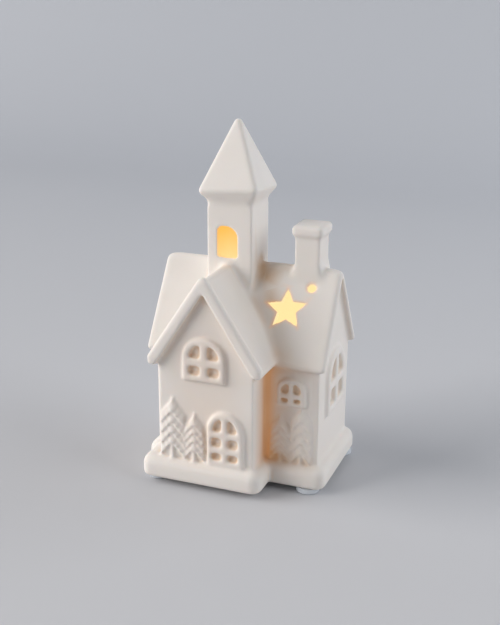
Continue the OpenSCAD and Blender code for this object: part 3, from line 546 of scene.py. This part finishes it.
# Windows, as (wall's axis, wall's place, middle, half width, low, high)
WINDOWS = [
    (1, -29.6, -8.8, 9.9, 51.5, 71.3), (1, -29.6, 0.8, 8.7, 14, 38.4), (1, -15.4, 26.1, 6.55, 39.9, 52.9),
    (0, 38.5, 7.1, 13, 32.5, 61.5), (0, -38.5, 7.1, 13, 32.5, 61.5),
    (1, 29.6, -19.25, 9.9, 32.5, 52.3), (1, 29.6, 19.25, 9.9, 32.5, 52.3),
]
FRAME_SWELL = 0.45
# The stretches of wall that hold the conifers, given as the windows are
TREE_WALLS = [(1, -29.6, -18, 13, 14, 42.5), (1, -15.4, 27, 12, 14, 39.5)]
# Layers of a stretch of wall, as (lowest, highest, margin): between two heights out of the wall's face, and
# reaching so far round the stretch. They hold the trees, the windows, the windows' frames, what of the frames
# swells, and everything down to the sunken panes
TREE_LAYER = (-1.5, 3, 0.0)
WINDOW_LAYER = (-1.5, 3, 0.6)
FRAME_LAYER = (0.25, 3, 0.8)
SWELL_LAYER = (0.8, 1.8, 0.4)
PANE_LAYER = (-2.2, 3, 0.9)

# Conifers, as (wall's place, stem, width, height, lowest x)
TREES = [
    (-29.6, -24.2, 14.6, 28.2, -30.9), (-29.6, -13.8, 11.6, 22, -30.9),
    (-15.4, 21.3, 11.2, 21.6, 14), (-15.4, 31.1, 11.2, 26.4, 14),
]
TREE_FOOT = 13
TREE_TIERS = 4
TREE_DROOP = 1.2
# How far a tier stands out at the stem and at its tips
TREE_RELIEF = (2.3, 1.4)
# The top tier's half width as a share of the width, and the lowest tier's top as a share of the height
TOP_TIER_HALF = 0.43
LOWEST_TIER_TOP = 0.2
TIER_OVERLAP = 1.25
TIP_ROUNDING = 0.8
# A tier's fullness, from its top (0) to its lower edge (1)
TIER_DOWN, TIER_FULLNESS = (0, 0.02, 0.82, 1), (0, 0.4, 1, 0)
# The needles' ripple: its wavelength, how much of the relief it takes, and its slant
NEEDLE_PITCH, NEEDLE_SHARE, NEEDLE_SLANT = 1.7, 0.1, 0.45
# The trunk, up to a share of the height
TRUNK_RADIUS, TRUNK_RELIEF, TRUNK_HEIGHT = 1.25, 1.7, 0.3
# The core between the tiers, with its half width as a share of the width
CORE_HALF, CORE_LEAST, CORE_RELIEF, CORE_EDGE, CORE_FOOT = 0.36, 0.2, 0.75, 0.8, 1.5

# How much of the softening reaches each part
WINDOW_SOFTNESS = 0.8
TREE_SOFTNESS = 0.5
STAR_SOFTNESS = 0.25
GROOVE_SOFTNESS = 0.3
# The groove in the front gable's rim
GROOVE_Y, GROOVE_HALF, GROOVE_LOW = -29.5, 1.1, 61

# The cut-outs in the roof's front slope and the tower's opening, with the star's turn in degrees
STAR_PLACE = (19.4, -4.92, 80.26)
STAR_POINTS = 5
STAR_RADII = (9.2, 4.2)
STAR_TURN = 5.5
SPARK_PLACE = (28.9, 0.67, 89.4)
SPARK_RADIUS = 1.8
LAMP_OPENING = ((-13.8, -4.4, 100.1), (-3.6, 0.3, 114.7))
CUT_MARGIN = 2
# How far the painted light round the cut-outs reaches
HALO_REACH = 0.9
# The star's cutter, which starts under the roof's outer face
CUTTER_HEIGHT, CUTTER_SUNK = 10, 6

# The front slope, in degrees, with the ways out of it and up it
ROOF_SLOPE = 58.5
SLOPE_OUT = (0, -math.sin(math.radians(ROOF_SLOPE)), math.cos(math.radians(ROOF_SLOPE)))
SLOPE_UP = (0, math.cos(math.radians(ROOF_SLOPE)), math.sin(math.radians(ROOF_SLOPE)))


def in_mm(ends):
    return [tuple(v * MM for v in end) for end in ends]


def near(places, ends, reach):
    """How close each place is to the line between two ends, from 1 on it to 0 well past reach."""
    a, b = np.array(in_mm(ends))
    along = np.clip((places - a) @ (b - a) / max((b - a) @ (b - a), NO_LENGTH), 0, 1)
    gap = np.linalg.norm(places - a - along[:, None] * (b - a), axis=1)
    return np.exp(-(gap / (reach * MM)) ** 2)


def near_any(places, lines):
    """The sum over the lines of how close each place is to them."""
    return sum(near(places, ends, reach) for ends, reach in lines)


def marked(places, marks):
    """The sum of the marks' strengths at each place."""
    return sum(strength * near(places, ends, reach) for ends, reach, strength in marks)


def on_wall(places, wall, layer):
    """1 where a place lies on that stretch of wall and in that layer of it, and 0 elsewhere."""
    axis, face, middle, half, low, high = wall
    lowest, highest, margin = layer
    out = (places[:, axis] - face * MM) * (1 if face > 0 else -1)
    along = np.abs(places[:, 1 - axis] - middle * MM)
    z = places[:, 2]
    return ((out > lowest * MM) & (out < highest * MM) & (along < (half + margin) * MM)
            & (z > (low - margin) * MM) & (z < (high + margin) * MM)).astype(float)


def smoothing_weights(places):
    """How much each place softens: less on the trees, the windows, the star and the rim's groove."""
    soft = np.ones(len(places))
    for walls, softness, layer in ((TREE_WALLS, TREE_SOFTNESS, TREE_LAYER),
                                   (WINDOWS, WINDOW_SOFTNESS, WINDOW_LAYER)):
        for wall in walls:
            soft = np.minimum(soft, 1 - (1 - softness) * on_wall(places, wall, layer))
    for middle, radius in ((STAR_PLACE, STAR_RADII[0]), (SPARK_PLACE, SPARK_RADIUS)):
        far = np.linalg.norm(places - np.array(middle) * MM, axis=1) > (radius + CUT_MARGIN) * MM
        soft = np.minimum(soft, np.where(far, 1, STAR_SOFTNESS))
    groove = (np.abs(places[:, 1] - GROOVE_Y * MM) < GROOVE_HALF * MM) & (places[:, 2] > GROOVE_LOW * MM)
    return np.minimum(soft, np.where(groove, GROOVE_SOFTNESS, 1))


def conifer_relief(aside, up, width, height):
    """How far a conifer stands out of its wall, at each distance from its stem and height over its foot."""
    stem, tip = TREE_RELIEF
    top_half = TOP_TIER_HALF * width
    pitch = (height - TREE_DROOP * top_half - LOWEST_TIER_TOP * height) / (TREE_TIERS - 1)
    trunk = TRUNK_RELIEF * np.sqrt(np.clip(1 - (aside / TRUNK_RADIUS) ** 2, 0, 1))
    relief = np.where((aside < TRUNK_RADIUS) & (up < TRUNK_HEIGHT * height), trunk, 0)
    core = CORE_HALF * width * np.clip((height - up) / height, CORE_LEAST, 1)
    relief = np.maximum(relief, CORE_RELIEF * np.clip((core - aside) / CORE_EDGE, 0, 1)
                        * np.clip(up / CORE_FOOT, 0, 1))
    for tier in range(TREE_TIERS):
        half = top_half + (width / 2 - top_half) * tier / (TREE_TIERS - 1)
        down = (height - pitch * tier - TREE_DROOP * aside - up) / (pitch * TIER_OVERLAP)
        bough = np.interp(down, TIER_DOWN, TIER_FULLNESS)
        ending = np.clip((half - aside) / TIP_ROUNDING, 0, 1) ** 0.5
        full = stem + (tip - stem) * np.clip(aside / half, 0, 1)
        ripple = np.sin(2 * math.pi * (aside + NEEDLE_SLANT * down * pitch) / NEEDLE_PITCH)
        relief = np.maximum(relief, full * bough * ending * (1 + NEEDLE_SHARE * ripple))
    return relief


def carve_trees(places):
    """Turns the flat conifers into drooping tiers, thickest at the stem and at each lower edge."""
    beside, above_foot, above_top, outmost = 0.7, 0.5, 0.8, 2.9
    # Near the wall's corner, a conifer's lowest x, only what stands out of the face is carved, and it fades
    inmost, inmost_at_corner, corner, past_corner, fade = -0.4, 0.15, 0.4, 0.6, 1.2
    x, up = places[:, 0] / MM, places[:, 2] / MM - TREE_FOOT
    for face in sorted({tree[0] for tree in TREES}):
        out = face - places[:, 1] / MM
        relief = np.zeros(len(places))
        covered = np.zeros(len(places), bool)
        for _, stem, width, height, low_x in (tree for tree in TREES if tree[0] == face):
            aside = np.abs(x - stem)
            here = ((aside < width / 2 + beside) & (up > above_foot) & (up < height + above_top)
                    & (out < outmost) & (out > np.where(x > low_x + corner, inmost, inmost_at_corner))
                    & (x > low_x - past_corner))
            carved = conifer_relief(aside, up, width, height) * np.clip((x - low_x) / fade, 0, 1)
            relief = np.where(here, np.maximum(relief, carved), relief)
            covered |= here
        places[covered, 1] = (face - relief[covered]) * MM


def fill_valley(places):
    """Pushes the wing's right slope out towards its foot line on the main roof, less near the ridge."""
    ends, reach, much = FULLER_VALLEY
    a, b = np.array(in_mm(ends))
    along = (places - a) @ (b - a) / ((b - a) @ (b - a))
    amount = np.clip(along / VALLEY_RISE, 0, 1) * near(places, ends, reach)
    over_the_wall = np.clip((places[:, 2] / MM - WALL_TOP) / WALL_TOP_RISE, 0, 1)
    places += (much * MM * amount * over_the_wall)[:, None] * np.array(WING_SLOPE_OUT)


def swell_frames(places):
    """Lifts the window frames, so that the softening leaves them full and round."""
    for wall in WINDOWS:
        lifted = on_wall(places, wall, SWELL_LAYER) > 0
        places[lifted, wall[0]] += FRAME_SWELL * MM * (1 if wall[1] > 0 else -1)


def inside_star(across, up):
    """How far a place on the slope lies inside the star's outline; below 0 is outside it."""
    turn = np.arctan2(up, across) - math.radians(90 + STAR_TURN)
    sector = math.radians(360 / STAR_POINTS)
    turn = np.abs((turn + sector / 2) % sector - sector / 2)
    x, y = np.hypot(across, up) * np.cos(turn), np.hypot(across, up) * np.sin(turn)
    tip, corner = STAR_RADII
    side = Vector((corner * math.cos(sector / 2) - tip, corner * math.sin(sector / 2))).normalized()
    return y * side.x - (x - tip) * side.y


def on_slope(places, middle):
    """Each place seen from a cut-out's middle: its height out of the front slope, across it and up it."""
    away = places / MM - np.array(middle)
    return away @ np.array(SLOPE_OUT), away[:, 0], away @ np.array(SLOPE_UP)


def gap_inside(middle, across, up):
    """How far inside the edge of the star or the round hole."""
    return inside_star(across, up) if middle is STAR_PLACE else SPARK_RADIUS - np.hypot(across, up)


def halo(places):
    """Painted light: 1 at the edges of the star and the round hole, fading over the roof round them."""
    shine = np.zeros(len(places))
    for middle in (STAR_PLACE, SPARK_PLACE):
        height, across, up = on_slope(places, middle)
        edge = np.exp(-(gap_inside(middle, across, up) / HALO_REACH) ** 2)
        close = (np.abs(height) < CUT_MARGIN) & (np.hypot(across, up) < STAR_RADII[0] + CUT_MARGIN)
        shine = np.maximum(shine, np.where(close, edge, 0))
    return shine


def cut_walls(mesh):
    """Which vertices and which faces are the walls of the star, the round hole and the tower's opening."""
    near_edge, past_tips = 0.4, 0.7
    # The roof's shell there, out of its face
    roof_middle, roof_half = -2.2, 2.8
    # A cut's walls face across it: their normals go less than this far along it
    most_along = 0.8
    places = places_of(mesh)
    on_roof = np.zeros(len(places), bool)
    for middle in (STAR_PLACE, SPARK_PLACE):
        height, across, up = on_slope(places, middle)
        on_roof |= ((np.abs(gap_inside(middle, across, up)) < near_edge)
                    & (np.abs(height - roof_middle) < roof_half)
                    & (np.hypot(across, up) < STAR_RADII[0] + past_tips))
    low, high = (np.array(corner) * MM for corner in LAMP_OPENING)
    on_tower = ((places > low) & (places < high)).all(axis=1)
    normals = np.zeros(len(mesh.polygons) * 3)
    mesh.polygons.foreach_get("normal", normals)
    normals = normals.reshape(-1, 3)
    faces = np.zeros(len(mesh.polygons), bool)
    for vertices, along_cut in ((on_roof, SLOPE_OUT), (on_tower, (0, -1, 0))):
        whole = np.array([all(vertices[i] for i in polygon.vertices) for polygon in mesh.polygons])
        faces |= whole & (np.abs(normals @ np.array(along_cut)) < most_along)
    return on_roof | on_tower, faces


def star_cutter():
    """A star prism that stands square to the front slope and goes through the roof."""
    bm = bmesh.new()
    made = bmesh.ops.create_circle(bm, cap_ends=True, segments=2 * STAR_POINTS, radius=STAR_RADII[0] * MM)
    ordered = sorted(made["verts"], key=lambda v: math.atan2(v.co.y, v.co.x))
    for vertex in ordered[::2]:
        vertex.co *= STAR_RADII[1] / STAR_RADII[0]
    first = min(ordered[1::2], key=lambda v: abs(math.atan2(v.co.y, v.co.x) - math.pi / 2))
    tilt = math.pi / 2 + math.radians(STAR_TURN) - math.atan2(first.co.y, first.co.x)
    bmesh.ops.rotate(bm, verts=bm.verts, matrix=Matrix.Rotation(tilt, 3, "Z"))
    move_extruded(bm, bmesh.ops.extrude_face_region(bm, geom=bm.faces[:]), (0, 0, CUTTER_HEIGHT * MM))
    bmesh.ops.translate(bm, verts=bm.verts, vec=(0, 0, -CUTTER_SUNK * MM))
    bmesh.ops.rotate(bm, verts=bm.verts, matrix=Matrix.Rotation(math.radians(ROOF_SLOPE), 3, "X"))
    bmesh.ops.translate(bm, verts=bm.verts, vec=Vector(STAR_PLACE) * MM)
    bmesh.ops.recalc_face_normals(bm, faces=bm.faces)
    return piece_from(bm, "star_cutter")


def star_is_open(mesh):
    """Whether the star goes through the roof, with nothing of its cutter left standing on it."""
    past_tips, lowest, highest = 0.5, 2.5, 6
    ray_start, ray_length = 8, 14
    height, across, up = on_slope(places_of(mesh), STAR_PLACE)
    standing = (np.hypot(across, up) < STAR_RADII[0] + past_tips) & (height > lowest) & (height < highest)
    outwards = Vector(SLOPE_OUT)
    start = Vector(STAR_PLACE) * MM + outwards * ray_start * MM
    hit = ray_tree(mesh).ray_cast(start, -outwards, ray_length * MM)[3]
    return hit is None and not standing.any()


def cut_star(piece):
    """Cuts the star's softened edges sharp again; a cut that goes wrong is undone."""
    softened = piece.data.copy()
    for solver in ("EXACT", "FAST"):
        cutter = star_cutter()
        cut = piece.modifiers.new("star", "BOOLEAN")
        cut.operation = "DIFFERENCE"
        cut.object = cutter
        cut.solver = solver
        apply_modifiers(piece)
        bpy.data.objects.remove(cutter)
        if star_is_open(piece.data):
            print("star cut by the solver", solver)
            return
        piece.data = softened.copy()
    print("star left as it was softened")


def cast_porcelain():
    """The casting, reshaped and softened from the CAD's plain shell."""
    piece = copy_of("ceramic_house", "porcelain_house")
    voxels(piece)
    places = places_of(piece.data)
    fill_valley(places)
    swell_frames(places)
    carve_trees(places)
    put_places(piece.data, places)
    voxels(piece)
    places = places_of(piece.data)
    smooth(piece, SOFT_ROUNDS, smoothing_weights(places))
    smooth(piece, FRAME_ROUNDS, sum(on_wall(places, wall, FRAME_LAYER) for wall in WINDOWS))
    smooth(piece, BLEND_ROUNDS, near_any(places, BLENDS))
    smooth(piece, BROAD_ROUNDS, near_any(places, BROAD_BLENDS))
    apply_modifiers(piece)
    triangles = sum(len(p.vertices) - 2 for p in piece.data.polygons)
    decimate = piece.modifiers.new("thin", "DECIMATE")
    decimate.ratio = min(1.0, PORCELAIN_TRIANGLES / triangles)
    apply_modifiers(piece)
    cut_star(piece)
    print("porcelain triangles", triangles, "before thinning, faces", len(piece.data.polygons), "after the cut")
    return piece


def light_porcelain(mesh):
    """Writes the painted light inside and the painted glow and warm shade outside; returns which faces are lit.
    """
    everywhere, close = closed_in(mesh)
    places = places_of(mesh)
    # Rays from sunken panes and from between the trees meet many walls too, but those places aren't inside
    sunken = sum(on_wall(places, wall, PANE_LAYER) for wall in WINDOWS + TREE_WALLS)
    inside = np.clip((everywhere - INSIDE_FROM) / INSIDE_OVER, 0, 1) * (sunken < 1)
    outside = 1 - inside
    on_cut, cut_faces = cut_walls(mesh)
    shine, glow, tan = halo(places), marked(places, GLOWS), marked(places, PAINTED_WARM_SHADES)
    # Painted shade in hollows: how many close walls each outside place's rays meet
    hollow = np.clip(evened(mesh, close * outside, HOLLOW_ROUNDS) - HOLLOW_FROM, 0, 1)
    # Painted light: inside and on the cut-outs' walls, as glow
    lit = np.maximum(evened(mesh, inside, LIT_ROUNDS) * INSIDE_LIGHT, on_cut * CUT_LIGHT)
    float_attribute(mesh, "lit", lit)
    # The painted glow of the lamp through the wall and round the cut-outs
    float_attribute(mesh, "glow", np.clip(glow + shine, 0, 1) * outside)
    # The painted shade in hollows
    float_attribute(mesh, "hollow", np.clip(HOLLOW_WARMTH * hollow, 0, 1) * outside)
    # The painted warm shade: a little everywhere outside, more at the marks and round the cut-outs
    float_attribute(mesh, "tan", np.clip(WARM_SHADE_EVERYWHERE + glow + tan + WARM_SHADE_IN_HALO * shine, 0, 1) * outside)
    mostly_inside = inside > 0.5
    return [cut_faces[polygon.index] or all(mostly_inside[i] for i in polygon.vertices)
            for polygon in mesh.polygons]


def porcelain():
    """The house's visible casting, in place of its plain shell."""
    piece = cast_porcelain()
    mesh = piece.data
    lit_faces = light_porcelain(mesh)
    mesh.materials.clear()
    mesh.materials.append(bisque_material())
    mesh.materials.append(lit_bisque_material())
    for polygon, lit in zip(mesh.polygons, lit_faces):
        polygon.material_index = int(lit)
    shade_smooth(mesh)
    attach(piece, "house")
    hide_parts("ceramic_house")


# The feet and the light unit

def paint_nodes():
    """Gives the feet and every piece of the light unit their materials."""
    paint(clear_rubber_material(), "foot_front_left", "foot_front_right", "foot_back_left", "foot_back_right")
    paint(moulded("white_plastic", WHITE, WHITE_TINT, 0.42), "light_housing", "housing_cap", "battery_door")
    paint(moulded("soft_grip", GREY, GREY_TINT, 0.55), "grip_ring")
    paint(metal("screw_steel", STEEL, STEEL_TINT, 0.3), "cap_screws", "door_screw")
    paint(board_material(), "circuit_board")
    paint(chip_material(), "resistor")
    paint(diode_material(), "led_lamp")
    paint(metal("tinned_wire", TINNED, TINNED_TINT, 0.25), "led_leads")
    paint(metal("switch_can", STEEL, STEEL_TINT, 0.28), "switch_body")
    paint(moulded("black_plastic", BLACK, BLACK_TINT, 0.5), "switch_knob")
    paint(metal("cell_steel", CELL, CELL_TINT, 0.24), "cell_1", "cell_2", "cell_3")
    paint(metal("contact_plate", PLATE, PLATE_TINT, 0.26), "contact_plus", "contact_minus")
    paint(moulded("red_insulation", RED, RED_TINT, 0.35), "wire_plus")
    paint(moulded("black_insulation", BLACK, BLACK_TINT, 0.35), "wire_minus")


# The stage, the lamps and the camera

def floor_material():
    """Pale paper, with painted shade that darkens it towards the back and far round the house."""
    material, tree, output = new_material("floor_paper")
    tint = mixed(tree, noise_at(tree, 0.5), FLOOR, FLOOR_TINT)
    depth = between(tree, along_axis(tree, "Y"), 0.0, 1.0, FLOOR_FAR_FROM, FLOOR_FAR_TO)
    away = add(tree, "VectorMath", {0: object_place(tree)}, operation="LENGTH").outputs["Value"]
    away = between(tree, away, 0.0, 1.0, FLOOR_RIM_FROM, FLOOR_RIM_TO)
    surface(tree, output, {
        "Base Color": mixed(tree, away, mixed(tree, depth, tint, FLOOR_FAR), FLOOR_RIM),
        "Roughness": 0.8,
        "Specular IOR Level": 0.25,
    })
    return material


def stage():
    """A pale floor that sweeps up into a backdrop."""
    outline = [(-FLOOR_HALF, 0.0)]
    for i in range(FLOOR_STEPS + 1):
        turn = math.radians(90 * i / FLOOR_STEPS)
        outline.append((FLOOR_BACK - FLOOR_SWEEP + FLOOR_SWEEP * math.sin(turn),
                        FLOOR_SWEEP - FLOOR_SWEEP * math.cos(turn)))
    outline.append((FLOOR_BACK, FLOOR_TOP))
    bm = bmesh.new()
    profile = [bm.verts.new((-FLOOR_HALF, y, z)) for y, z in outline]
    edges = [bm.edges.new(pair) for pair in zip(profile, profile[1:])]
    move_extruded(bm, bmesh.ops.extrude_edge_only(bm, edges=edges), (2 * FLOOR_HALF, 0, 0))
    bmesh.ops.recalc_face_normals(bm, faces=bm.faces)
    floor = piece_from(bm, "floor")
    floor.data.materials.append(floor_material())
    shade_smooth(floor.data)


def area_lamp(name, place, size, power, colour):
    """A square lamp that is aimed at the house and that the camera doesn't see."""
    data = bpy.data.lights.new(name, "AREA")
    data.shape = "SQUARE"
    data.size = size
    data.energy = power
    data.color = colour
    lamp = bpy.data.objects.new(name, data)
    lamp.location = place
    lamp.rotation_euler = (Vector(LAMP_TARGET) - Vector(place)).to_track_quat("-Z", "Y").to_euler()
    lamp.visible_camera = False
    bpy.context.scene.collection.objects.link(lamp)


def lamps():
    """Soft studio light; what the camera sees past the floor is as pale as the backdrop."""
    world = bpy.data.worlds.new("studio")
    world.use_nodes = True
    tree = world.node_tree
    background = tree.nodes["Background"]
    background.inputs["Color"].default_value = WORLD_COLOUR
    rays = add(tree, "LightPath").outputs
    seen = maths(tree, "MAXIMUM", rays["Is Camera Ray"], rays["Is Glossy Ray"])
    seen = maths(tree, "MAXIMUM", seen, rays["Is Transmission Ray"])
    tree.links.new(between(tree, seen, WORLD_LIGHT, WORLD_SEEN, 0.0, 1.0), background.inputs["Strength"])
    bpy.context.scene.world = world
    for lamp in LAMPS:
        area_lamp(*lamp)


def camera():
    """The photograph's camera."""
    yaw, pitch, roll = (math.radians(a) for a in (CAMERA_YAW, CAMERA_PITCH, CAMERA_ROLL))
    forward = Vector((-math.sin(yaw) * math.cos(pitch), math.cos(yaw) * math.cos(pitch), -math.sin(pitch)))
    right = Vector((math.cos(yaw), math.sin(yaw), 0))
    up = right.cross(forward)
    turn = Matrix.Rotation(-roll, 3, forward)
    data = bpy.data.cameras.new("camera")
    data.lens = CAMERA_LENS
    data.clip_start = CAMERA_NEAR
    view = bpy.data.objects.new("camera", data)
    basis = Matrix((turn @ right, turn @ up, -forward)).transposed()
    view.matrix_world = Matrix.Translation(CAMERA_PLACE) @ basis.to_4x4()
    bpy.context.scene.collection.objects.link(view)
    bpy.context.scene.camera = view


camera()
stage()
lamps()
porcelain()
paint_nodes()

bpy.context.scene.view_settings.view_transform = "Standard"
